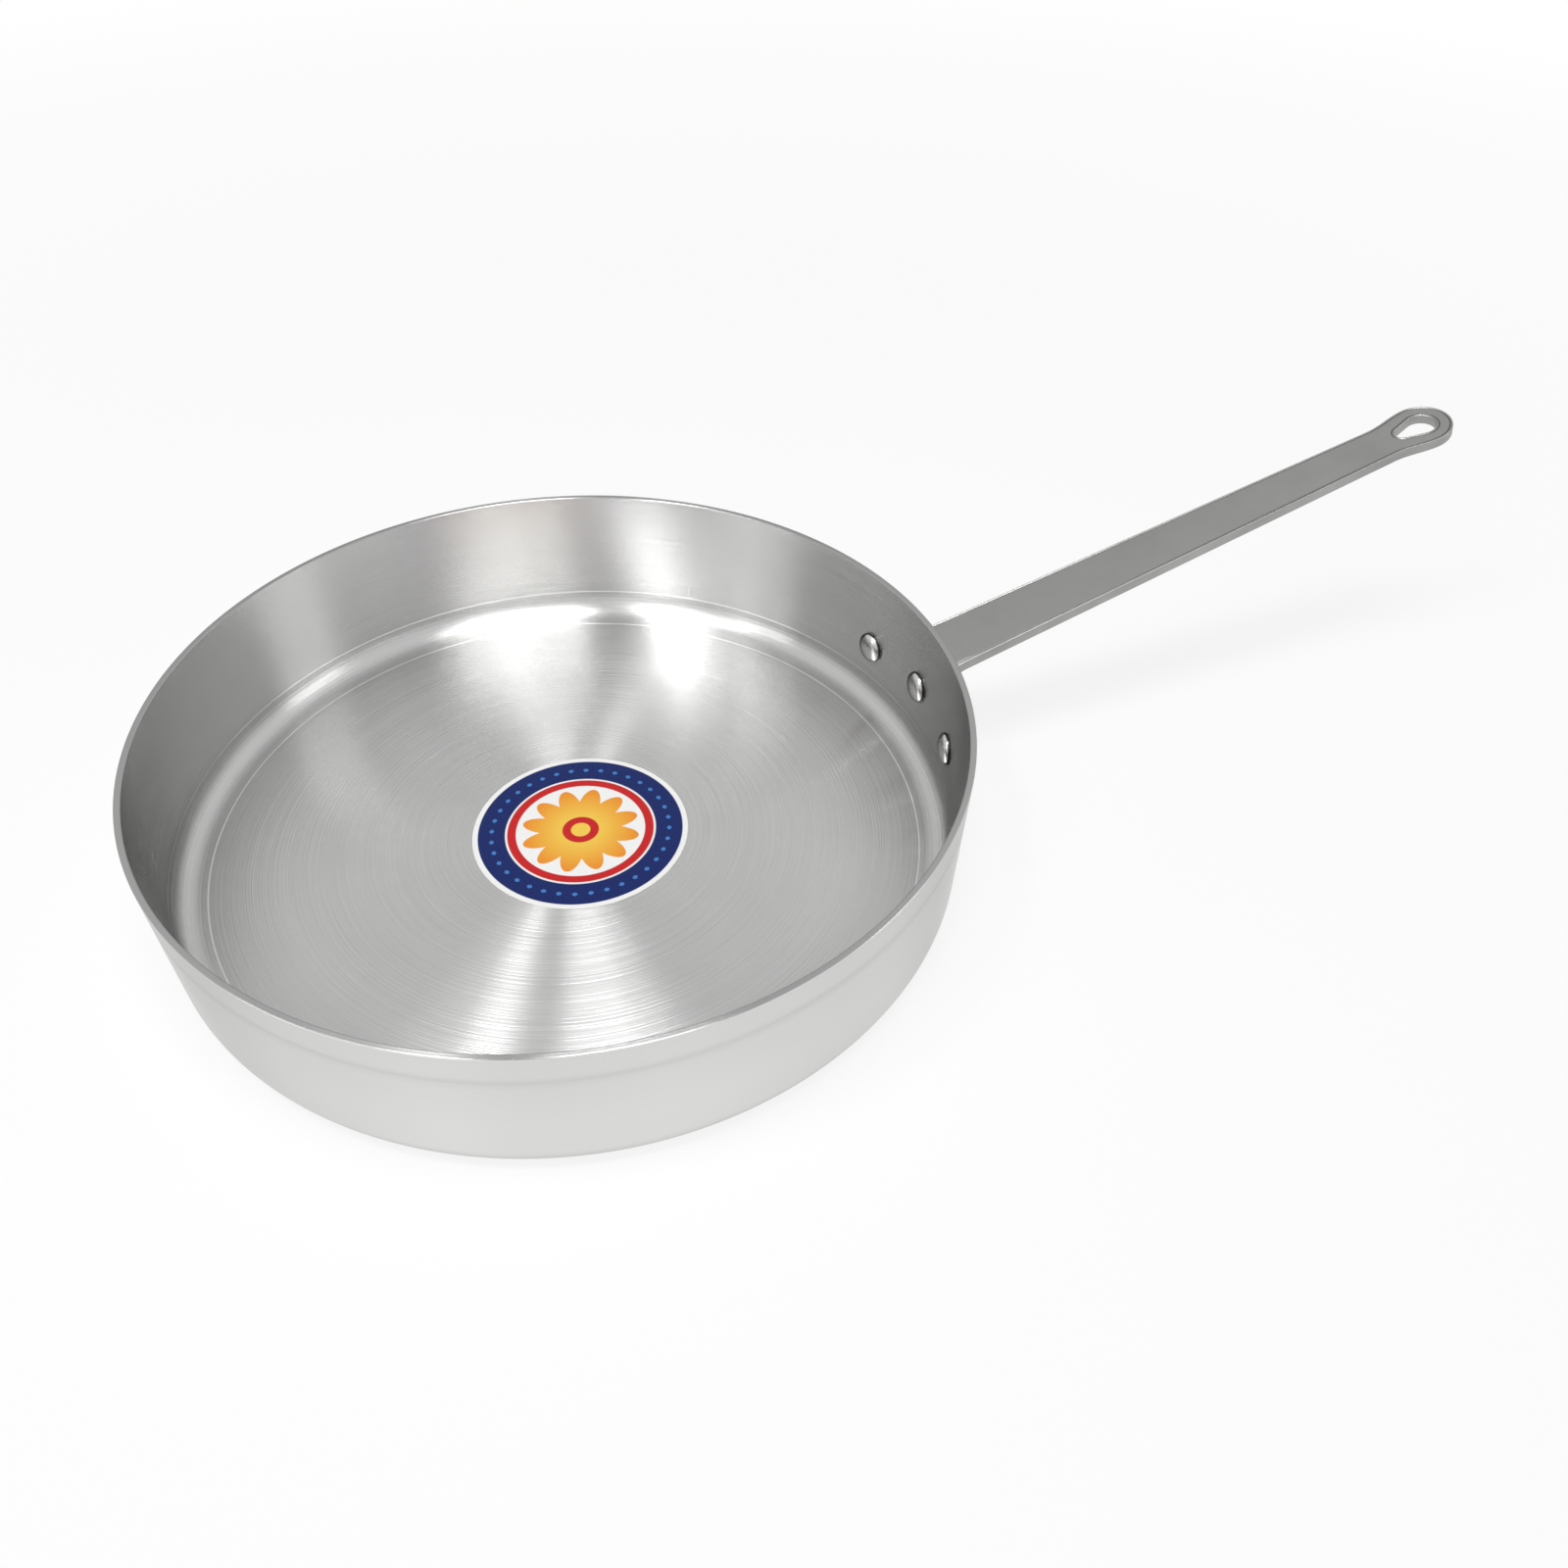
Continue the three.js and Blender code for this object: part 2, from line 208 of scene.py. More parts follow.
class StageSettings(bpy.types.PropertyGroup):
    """Floor, lamps and camera."""

    floor_size: length("Floor size", "Side of the square floor", 8.0)
    floor_paint: colour("Floor paint", "Colour of the floor in the pan's shadow", (0.86, 0.86, 0.86))
    floor_white: level("Floor white", "Share of the floor's white that keeps no shadow", 0.86)
    shadow_reach: length("Shadow reach", "Distance from the pan at which the floor is plain white", 1.5)
    room_matt: level("Room on matt", "Brightness of the room for matt surfaces", 0.10)
    room_sides: level("Room at the sides", "Brightness of the room's sides as metal shows it", 0.845)
    room_middle: level("Room in the middle", "Brightness of the room's middle as metal shows it", 0.66)
    room_low: level("Room low down", "Brightness of the room near the floor as metal shows it", 0.76)
    lamp_distance: length("Lamp distance", "Distance of the lamps from the pan", 1.6)
    lens: FloatProperty(name="Lens", description="Focal length", default=33.75, unit="CAMERA")
    azimuth: turn("Azimuth", "Camera's turn round the pan", -22.43)
    elevation: turn("Elevation", "Camera's tilt above the horizon", 42.6)
    roll: turn("Roll", "Camera's roll", 0.31)
    spot: FloatVectorProperty(
        name="Spot",
        description="Camera's place",
        default=(-0.0925, -0.4782, 0.4738),
        size=3,
        subtype="TRANSLATION",
        unit="LENGTH",
    )


class SautePanSettings(bpy.types.PropertyGroup):
    """All settings of the add-on."""

    vessel: PointerProperty(type=VesselSizes)
    handle: PointerProperty(type=HandleSizes)
    rivet: PointerProperty(type=RivetSizes)
    label: PointerProperty(type=LabelSizes)
    stage: PointerProperty(type=StageSettings)


# Shared shapes

def piece_from(name, points, faces, smooth_angle):
    """A smooth-shaded object from points and faces, with edges sharper than the angle kept crisp."""
    mesh = bpy.data.meshes.new(name)
    mesh.from_pydata(points, [], faces)
    mesh.validate()
    mesh.shade_smooth()
    mesh.set_sharp_from_angle(angle=smooth_angle)
    piece = bpy.data.objects.new(name, mesh)
    bpy.context.scene.collection.objects.link(piece)
    return piece


def turned_shape(profile, steps):
    """Points and faces of a profile of radius and height pairs, spun about Z from axis to axis."""
    points = [Vector((0.0, 0.0, profile[0][1]))]
    inner = profile[1:-1]
    for radius, height in inner:
        for k in range(steps):
            angle = 2.0 * math.pi * k / steps
            points.append(Vector((radius * math.cos(angle), radius * math.sin(angle), height)))
    points.append(Vector((0.0, 0.0, profile[-1][1])))
    last = len(points) - 1
    faces = []
    for k in range(steps):
        nxt = (k + 1) % steps
        faces.append((0, 1 + nxt, 1 + k))
        for row in range(len(inner) - 1):
            low = 1 + row * steps
            high = low + steps
            faces.append((low + k, low + nxt, high + nxt, high + k))
        top = 1 + (len(inner) - 1) * steps
        faces.append((top + k, top + nxt, last))
    return points, faces


def spread(start, end, count):
    """Evenly spread numbers, both ends included."""
    return [start + (end - start) * k / (count - 1) for k in range(count)]


def arc(centre, radius, start, end, steps):
    """Points of an arc, both ends included."""
    x, y = centre
    angles = spread(start, end, steps + 1)
    return [(x + radius * math.cos(angle), y + radius * math.sin(angle)) for angle in angles]


def smooth(value, low, high):
    """Smooth step from zero to one."""
    t = min(max((value - low) / (high - low), 0.0), 1.0)
    return t * t * (3.0 - 2.0 * t)


def outer_radius(v, z):
    """Radius of the wall's outer face at a height."""
    return v.rim_radius - (v.height - z) * math.tan(v.draft)


def inner_radius(v, z):
    """Radius of the wall's inner face at a height."""
    return outer_radius(v, z) - v.wall / math.cos(v.draft)


def fillet_start(v, corner_radius, radius):
    """Radius at which a corner leaves its level face."""
    return corner_radius - radius / math.tan((math.pi / 2 + v.draft) / 2)


def ring_radius(v):
    """Radius of the turned ring on the floor."""
    return fillet_start(v, inner_radius(v, v.floor), v.inner_fillet) - v.ring_inset


def line_height(v):
    """Height of the fine line just above the inner fillet."""
    return v.floor + v.inner_fillet * (1.0 - math.sin(v.draft)) + v.line_width


# Shared material helpers

VALUE_OPERATIONS = ("LENGTH", "DOT_PRODUCT")


class Nodes:
    """Short way to add and join the shader nodes of one tree."""

    def __init__(self, tree):
        self.tree = tree
        tree.nodes.clear()

    def add(self, kind, **settings):
        """A node of a kind, with its settings."""
        node = self.tree.nodes.new(kind)
        for key, value in settings.items():
            setattr(node, key, value)
        return node

    def join(self, source, target):
        """A link from an output to an input."""
        self.tree.links.new(source, target)

    def feed(self, socket, value):
        """Join an output to a socket, or set a plain number, vector or colour on it."""
        if isinstance(value, bpy.types.NodeSocket):
            self.join(value, socket)
        elif socket.type == "RGBA":
            socket.default_value = (*value, 1.0)
        else:
            socket.default_value = value

    def maths(self, operation, first, second=0.0):
        """Arithmetic on numbers."""
        node = self.add("ShaderNodeMath", operation=operation)
        self.feed(node.inputs[0], first)
        self.feed(node.inputs[1], second)
        return node.outputs[0]

    def vectors(self, operation, first, second=None):
        """Arithmetic on vectors, which gives a vector or a number."""
        node = self.add("ShaderNodeVectorMath", operation=operation)
        self.feed(node.inputs[0], first)
        if second is not None:
            self.feed(node.inputs[1], second)
        return node.outputs["Value" if operation in VALUE_OPERATIONS else "Vector"]

    def scaled(self, first, factor):
        """A vector or colour times a number."""
        node = self.add("ShaderNodeVectorMath", operation="SCALE")
        self.feed(node.inputs[0], first)
        self.feed(node.inputs["Scale"], factor)
        return node.outputs["Vector"]

    def ramp(self, value, low, high, to_low, to_high, shape="LINEAR"):
        """Change of a value from one range to another, held at its ends."""
        node = self.add("ShaderNodeMapRange", interpolation_type=shape)
        self.feed(node.inputs["Value"], value)
        for key, number in (("From Min", low), ("From Max", high), ("To Min", to_low), ("To Max", to_high)):
            node.inputs[key].default_value = number
        return node.outputs["Result"]

    def step(self, value, edge, soft):
        """Zero below an edge and one above it, softened over a width."""
        return self.ramp(value, edge - soft, edge + soft, 0.0, 1.0)

    def mix(self, factor, first, second, kind="RGBA"):
        """A blend of two colours, or of two numbers where the kind is FLOAT."""
        node = self.add("ShaderNodeMix", data_type=kind)
        for key, value in (("Factor", factor), ("A", first), ("B", second)):
            self.feed(node.inputs[key], value)
        return node.outputs["Result"]

    def place(self):
        """Object coordinates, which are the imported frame's own, in metres."""
        return self.add("ShaderNodeTexCoord").outputs["Object"]

    def about_axis(self, place):
        """The parts of a place, its level part and the length of that."""
        parts = self.add("ShaderNodeSeparateXYZ")
        self.join(place, parts.inputs["Vector"])
        flat = self.add("ShaderNodeCombineXYZ")
        for key in ("X", "Y"):
            self.join(parts.outputs[key], flat.inputs[key])
        return parts.outputs, flat.outputs["Vector"], self.vectors("LENGTH", flat.outputs["Vector"])

    def noise(self, scale, detail, vector=None, along=None, roughness=0.5):
        """Noise at a place in space, or along one number."""
        node = self.add("ShaderNodeTexNoise", noise_dimensions="3D" if along is None else "1D")
        node.inputs["Scale"].default_value = scale
        node.inputs["Detail"].default_value = detail
        node.inputs["Roughness"].default_value = roughness
        if along is None:
            self.join(vector, node.inputs["Vector"])
        else:
            self.join(along, node.inputs["W"])
        return node.outputs["Fac"]

    def bump(self, height, distance, strength, under=None):
        """A normal that follows a height, over another normal where one is given."""
        node = self.add("ShaderNodeBump")
        node.inputs["Distance"].default_value = distance
        node.inputs["Strength"].default_value = strength
        self.join(height, node.inputs["Height"])
        if under is not None:
            self.join(under, node.inputs["Normal"])
        return node.outputs["Normal"]


class Finish(Nodes):
    """Nodes of one material, built round its Principled shader."""

    def __init__(self, name):
        self.material = bpy.data.materials.new(name)
        self.material.use_nodes = True
        super().__init__(self.material.node_tree)
        self.shader = self.add("ShaderNodeBsdfPrincipled")
        self.output = self.add("ShaderNodeOutputMaterial")
        self.join(self.shader.outputs["BSDF"], self.output.inputs["Surface"])

    def give(self, key, value):
        """Join an output to one of the shader's inputs, or set a plain value on it."""
        self.feed(self.shader.inputs[key], value)

    def creased(self, face, painted_shade):
        """The face's colour, with painted shade where the piece is marked as a crease."""
        crease = self.add("ShaderNodeAttribute", attribute_name=CREASE)
        return self.mix(crease.outputs["Fac"], face, painted_shade)


# Finishes

# Middle part of a noise's range, and the narrower part that the turned metal's tone follows
NOISE_LOW, NOISE_HIGH = 0.3, 0.7
TONE_LOW, TONE_HIGH = 0.32, 0.68

# Turned aluminium
STREAKS_PER_METRE = 1900.0
STREAK_BREAKS = 1.4
STREAK_SHARE = 0.55
SMEARS_PER_METRE = 14.0
FLOOR_SWING = 0.08
WALL_SWING = 0.04
SHINE_SWING = 0.03
QUARTER_TURN = 0.25


def turned_finish(name, v, metal, marks, edge_tint):
    """Aluminium turned round Z, with fine marks, long faint streaks and soft smears.

    Marks is the strength of the turning marks and edge_tint the brightness of the metal seen edge on.
    Gives the nodes, the colour of the metal, the distance from the axis and the height.
    """
    n = Finish(name)
    place = n.place()
    parts, flat, reach = n.about_axis(place)
    height = parts["Z"]
    along = n.maths("ADD", reach, height)

    streak = turning_streaks(n, flat, along)
    smear = n.noise(scale=SMEARS_PER_METRE, detail=4.0, vector=place, roughness=0.6)
    from_streak = n.maths("MULTIPLY", streak, STREAK_SHARE)
    tint = n.maths("ADD", from_streak, n.maths("MULTIPLY", smear, 1.0 - STREAK_SHARE))
    swing = n.ramp(height, v.floor, line_height(v), FLOOR_SWING * marks, WALL_SWING * marks)
    change = n.maths("MULTIPLY", n.ramp(tint, TONE_LOW, TONE_HIGH, -1.0, 1.0), swing)
    face = n.scaled(tuple(metal), n.maths("ADD", 1.0, change))
    smoother = v.shine - SHINE_SWING * marks
    rougher = v.shine + SHINE_SWING * marks
    n.give("Roughness", n.ramp(tint, NOISE_LOW, NOISE_HIGH, smoother, rougher))

    n.give("Metallic", 1.0)
    n.give("Specular Tint", (edge_tint, edge_tint, edge_tint))
    n.give("Anisotropic", v.grain)
    n.give("Anisotropic Rotation", QUARTER_TURN)
    tangent = n.add("ShaderNodeTangent", direction_type="RADIAL", axis="Z").outputs["Tangent"]
    n.give("Tangent", tangent)
    mark = n.noise(scale=1.0 / v.mark_pitch, detail=1.0, along=along)
    slope = n.maths("MULTIPLY", n.maths("SUBTRACT", mark, 0.5), 2.0 * v.mark_slope * marks)
    n.give("Normal", marked_normal(n, tangent, slope))
    return n, face, reach, height


def turning_streaks(n, flat, along):
    """Noise drawn out round the axis into long arcs."""
    lift = n.add("ShaderNodeCombineXYZ")
    n.join(n.maths("MULTIPLY", along, STREAKS_PER_METRE), lift.inputs["Z"])
    round_about = n.scaled(n.vectors("NORMALIZE", flat), STREAK_BREAKS)
    spot = n.vectors("ADD", round_about, lift.outputs["Vector"])
    return n.noise(scale=1.0, detail=3.0, vector=spot, roughness=0.6)


def marked_normal(n, tangent, slope):
    """Surface normal leaned across the turning marks by a slope."""
    surface = n.add("ShaderNodeNewGeometry").outputs["Normal"]
    lean = n.scaled(n.vectors("CROSS_PRODUCT", surface, tangent), slope)
    return n.vectors("NORMALIZE", n.vectors("ADD", surface, lean))


def turned_aluminium(v):
    """Inside of the vessel, with a painted highlight on the ring and a fainter one on the tool line,
    painted shade that greys the rim and painted shade that darkens the fillet.
    """
    n, face, reach, height = turned_finish("turned_aluminium", v, v.metal, marks=1.0, edge_tint=0.12)
    # Painted highlight: brighter colour on the turned ring and on the fine tool line
    off_ring = n.maths("ABSOLUTE", n.maths("SUBTRACT", reach, ring_radius(v)))
    off_line = n.maths("ABSOLUTE", n.maths("SUBTRACT", height, line_height(v)))
    ring_soft = 0.6 * v.ring_width
    on_ring = n.ramp(off_ring, 0.0, ring_soft, v.ring_painted_highlight, 0.0)
    on_line = n.ramp(off_line, 0.0, v.line_width, v.line_painted_highlight, 0.0)
    painted_highlight = n.maths("ADD", 1.0, n.maths("MAXIMUM", on_ring, on_line))

    # Painted shade on the rim's top
    rim_start = v.height - v.rim_round
    rim_full = v.height - 0.3 * v.rim_round
    rim = n.ramp(height, rim_start, rim_full, 1.0, v.rim_painted_shade)
    # Painted shade on the inner fillet and the floor's outer edge
    edge_start = 0.80 * ring_radius(v)
    edge_full = 0.95 * ring_radius(v)
    outer_part = n.ramp(reach, edge_start, edge_full, 0.0, 1.0)
    fillet_full = v.floor + 0.5 * v.inner_fillet
    fillet_end = v.floor + 0.8 * v.inner_fillet
    low_part = n.ramp(height, fillet_full, fillet_end, 1.0, 0.0)
    fillet = n.ramp(n.maths("MULTIPLY", outer_part, low_part), 0.0, 1.0, 1.0, v.fillet_painted_shade)
    # Painted highlights and painted shade, multiplied into the metal's colour
    tone = n.maths("MULTIPLY", n.maths("MULTIPLY", painted_highlight, rim), fillet)
    n.give("Base Color", n.scaled(face, tone))
    return n.material


def spun_aluminium(v):
    """Smoother outside of the vessel, with painted shade on the turned line below the rim, on the upper
    wall and, as a painted contact shadow, on the base's edge.
    """
    n, face, _, height = turned_finish("spun_aluminium", v, v.metal_outside, marks=0.25, edge_tint=0.7)
    # Painted shade in the turned groove below the rim
    off_band = n.maths("ABSOLUTE", n.maths("SUBTRACT", height, v.height - v.band_drop))
    painted_shade = n.ramp(off_band, 0.0, v.band_width, v.band_painted_shade, 1.0)
    # Painted contact shadow on the base's edge
    edge_full = 0.25 * v.outer_corner
    edge_end = 0.5 * v.outer_corner
    edge = n.ramp(height, edge_full, edge_end, v.base_painted_shadow, 1.0)
    # Painted shade on the upper outer wall
    upper_start = 0.4 * v.height
    upper_full = 0.8 * v.height
    upper = n.ramp(height, upper_start, upper_full, 1.0, v.upper_painted_shade)
    # Painted shade, multiplied into the metal's colour
    tone = n.maths("MULTIPLY", n.maths("MULTIPLY", painted_shade, edge), upper)
    n.give("Base Color", n.scaled(face, tone))
    return n.material


# Satin steel
MOTTLES_PER_METRE = 38.0
GRITS_PER_METRE = 900.0
MOTTLE_DARK, MOTTLE_LIGHT = 0.88, 1.08
MOTTLE_SHINE = 0.06


def satin_steel(h):
    """Tumbled satin steel with a soft mottle, fine grit and painted shade in the crease."""
    n = Finish("satin_steel")
    place = n.place()
    mottle = n.noise(scale=MOTTLES_PER_METRE, detail=5.0, vector=place, roughness=0.55)
    grit = n.noise(scale=GRITS_PER_METRE, detail=2.0, vector=place)
    darker = [c * MOTTLE_DARK for c in h.metal]
    lighter = [min(c * MOTTLE_LIGHT, 1.0) for c in h.metal]
    face = n.mix(n.ramp(mottle, NOISE_LOW, NOISE_HIGH, 0.0, 1.0), darker, lighter)
    # Painted shade in the stamped crease
    n.give("Base Color", n.creased(face, h.crease_painted_shade))
    rougher = h.shine + MOTTLE_SHINE
    smoother = h.shine - MOTTLE_SHINE
    n.give("Roughness", n.ramp(mottle, NOISE_LOW, NOISE_HIGH, rougher, smoother))
    n.give("Metallic", 1.0)
    soft = n.bump(mottle, distance=0.15 * MM, strength=0.25)
    n.give("Normal", n.bump(grit, distance=0.02 * MM, strength=0.35, under=soft))
    return n.material


# Rivet aluminium
DENTS_PER_METRE = 260.0
DENT_LOW, DENT_HIGH = 0.35, 0.65
DENT_DARK = 0.9
DENT_SMOOTHER, DENT_ROUGHER = 0.04, 0.06
DOME_EDGE = 0.32


def rivet_aluminium(r):
    """Pressed aluminium with small dents and painted shade round the head's edge."""
    n = Finish("rivet_aluminium")
    dents = n.noise(scale=DENTS_PER_METRE, detail=3.0, vector=n.place())
    darker = [c * DENT_DARK for c in r.metal]
    face = n.mix(n.ramp(dents, DENT_LOW, DENT_HIGH, 0.0, 1.0), darker, r.metal)
    # Painted shade round the head's edge
    n.give("Base Color", n.creased(face, r.edge_painted_shade))
    smoother = r.shine - DENT_SMOOTHER
    rougher = r.shine + DENT_ROUGHER
    n.give("Roughness", n.ramp(dents, NOISE_LOW, NOISE_HIGH, smoother, rougher))
    n.give("Metallic", 1.0)
    n.give("Specular Tint", (DOME_EDGE, DOME_EDGE, DOME_EDGE))
    n.give("Normal", n.bump(dents, distance=0.12 * MM, strength=0.3))
    return n.material


# Printed paper: places as shares of the label's radius, then counts, softness and the paper's finish
HEART_EYE = 0.09
HEART = 0.17
PETAL_FOOT = 0.38
PETAL_LENGTH = 0.17
WARM_FROM, WARM_TO = 0.15, 0.55
RED_RING = 0.60
PAPER_LINE = 0.68
NAVY_RING = 0.70
BEAD_RING = 0.825
PAPER_RIM = 0.95
PETALS = 12
BEADS = 36
BEAD_FALL = 30.0
BEAD_CUT, BEAD_SOFT = 0.35, 0.06
INK_SOFT = 0.004
FIBRES_PER_METRE = 1400.0
PAPER_SMOOTH, PAPER_ROUGH = 0.26, 0.34
PAPER_GLOSS = 0.22


def printed_paper(p, centre):
    """Glossy paper printed with a plain rosette in rings of ink."""
    n = Finish("printed_paper")
    place = n.place()
    parts, _, reach = n.about_axis(n.vectors("SUBTRACT", place, (centre[0], centre[1], 0.0)))
    out = n.maths("DIVIDE", reach, p.radius)
    angle = n.maths("ARCTAN2", parts["Y"], parts["X"])

    wave = n.maths("ABSOLUTE", n.maths("COSINE", n.maths("MULTIPLY", angle, PETALS / 2)))
    petal_edge = n.maths("ADD", n.maths("MULTIPLY", wave, PETAL_LENGTH), PETAL_FOOT)
    in_petal = n.step(n.maths("SUBTRACT", petal_edge, out), 0.0, INK_SOFT)
    warm = n.mix(n.ramp(out, WARM_FROM, WARM_TO, 0.0, 1.0), p.yellow, p.orange)
    ink = n.mix(in_petal, p.paper, warm)
    for edge, inner_ink in ((HEART, p.red), (HEART_EYE, p.yellow)):
        ink = n.mix(n.step(out, edge, INK_SOFT), inner_ink, ink)
    for edge, outer_ink in ((RED_RING, p.red), (PAPER_LINE, p.paper), (NAVY_RING, p.navy)):
        ink = n.mix(n.step(out, edge, INK_SOFT), ink, outer_ink)

    beads = n.maths("COSINE", n.maths("MULTIPLY", angle, BEADS))
    across = n.maths("ABSOLUTE", n.maths("SUBTRACT", out, BEAD_RING))
    bead = n.maths("SUBTRACT", beads, n.maths("MULTIPLY", across, BEAD_FALL))
    ink = n.mix(n.step(bead, BEAD_CUT, BEAD_SOFT), ink, p.sky)
    n.give("Base Color", n.mix(n.step(out, PAPER_RIM, INK_SOFT), ink, p.paper))
    fibre = n.noise(scale=FIBRES_PER_METRE, detail=3.0, vector=place)
    n.give("Roughness", n.ramp(fibre, NOISE_LOW, NOISE_HIGH, PAPER_SMOOTH, PAPER_ROUGH))
    n.give("Specular IOR Level", PAPER_GLOSS)
    n.give("Normal", n.bump(fibre, distance=0.01 * MM, strength=0.25))
    return n.material


# Vessel

CORNER_STEPS = 20
FILLET_STEPS = 24
RIM_STEPS = 6
GROOVE_STEPS = 8
# First and last rows of a turned face, as shares of its radius
FIRST_ROW = 0.1
BASE_END = 0.97
LAST_ROW = 0.05


def corner_arc(v, corner_radius, floor_level, radius, steps):
    """Corner from a level face up to the leaning wall."""
    centre = (fillet_start(v, corner_radius, radius), floor_level + radius)
    return arc(centre, radius, -math.pi / 2, -v.draft, steps)


def tool_groove(radius, height, width, depth, along):
    """A shallow round-bottomed groove across a face; along is the way the profile runs."""
    run, climb = along
    spots = []
    for t in spread(0.0, 1.0, GROOVE_STEPS + 1):
        sink = depth * math.sin(math.pi * t) ** 2
        reach = (t - 0.5) * width
        spots.append((radius + run * reach - climb * sink, height + climb * reach + run * sink))
    return spots


def vessel_profile(v):
    """Base, outer corner, wall, rim, inner wall, fine line, fillet, turned ring and floor."""
    outer = corner_arc(v, outer_radius(v, 0.0), 0.0, v.outer_corner, CORNER_STEPS)
    inner = corner_arc(v, inner_radius(v, v.floor), v.floor, v.inner_fillet, FILLET_STEPS)
    rim_low = v.height - v.rim_round
    outer_centre = (outer_radius(v, v.height) - v.rim_round, rim_low)
    inner_centre = (inner_radius(v, v.height) + v.rim_round, rim_low)
    outer_edge = arc(outer_centre, v.rim_round, 0.0, math.pi / 2, RIM_STEPS)
    inner_edge = arc(inner_centre, v.rim_round, math.pi / 2, math.pi, RIM_STEPS)

    upward = (math.sin(v.draft), math.cos(v.draft))
    downward = (-math.sin(v.draft), -math.cos(v.draft))
    inward = (-1.0, 0.0)
    line_at = line_height(v)
    line = tool_groove(inner_radius(v, line_at), line_at, v.line_width, v.line_depth, downward)
    ring_at = ring_radius(v)
    ring = tool_groove(ring_at, v.floor, v.ring_width, v.ring_depth, inward)
    band_at = v.height - v.band_drop
    band = tool_groove(outer_radius(v, band_at), band_at, v.band_width, v.band_depth, upward)

    wall_top = v.height - 2 * v.rim_round
    low_rows = spread(outer[-1][1] + v.rim_round, band_at - v.band_width, 6)
    high_rows = spread(band_at + v.band_width, wall_top, 4)
    low_wall = [(outer_radius(v, z), z) for z in low_rows]
    high_wall = [(outer_radius(v, z), z) for z in high_rows]
    inner_wall = [(inner_radius(v, z), z) for z in spread(wall_top, line_at + v.line_width, 6)]
    base_radius = outer[0][0]
    base = [(r, 0.0) for r in spread(base_radius * FIRST_ROW, base_radius * BASE_END, 6)]
    floor = [(r, v.floor) for r in spread(ring_at - 1.5 * v.ring_width, ring_at * LAST_ROW, 10)]
    outside = [(0.0, 0.0), *base, *outer, *low_wall, *band, *high_wall, *outer_edge]
    inside = [*inner_edge, *inner_wall, *line, *reversed(inner), *ring, *floor, (0.0, v.floor)]
    return [*outside, *inside]


class SAUTE_OT_vessel(bpy.types.Operator):
    """Turn the vessel from its profile"""

    bl_idname = "saute.vessel"
    bl_label = "Build Vessel"

    def execute(self, context):
        v = context.scene.saute_pan.vessel
        points, faces = turned_shape(vessel_profile(v), v.steps)
        piece = piece_from("vessel", points, faces, smooth_angle=math.radians(35.0))
        piece.data.materials.append(turned_aluminium(v))
        piece.data.materials.append(spun_aluminium(v))
        for face in piece.data.polygons:
            outward = face.normal.dot(Vector((face.center.x, face.center.y, 0.0)).normalized())
            face.material_index = 1 if outward > face.normal.z else 0
        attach(piece, "root")
        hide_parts("pan_body")
        return {"FINISHED"}


# Handle

CORNER_STATIONS = 10
SHOULDER_STATIONS = 25
BAR_STATIONS = 40
FLARE_STATIONS = 25
EYE_STATIONS = 24
EDGE_STEPS = 6
BEND_CUTS = 44
SEAT_CUTS = 27
CUT_MARGIN = 2 * MM


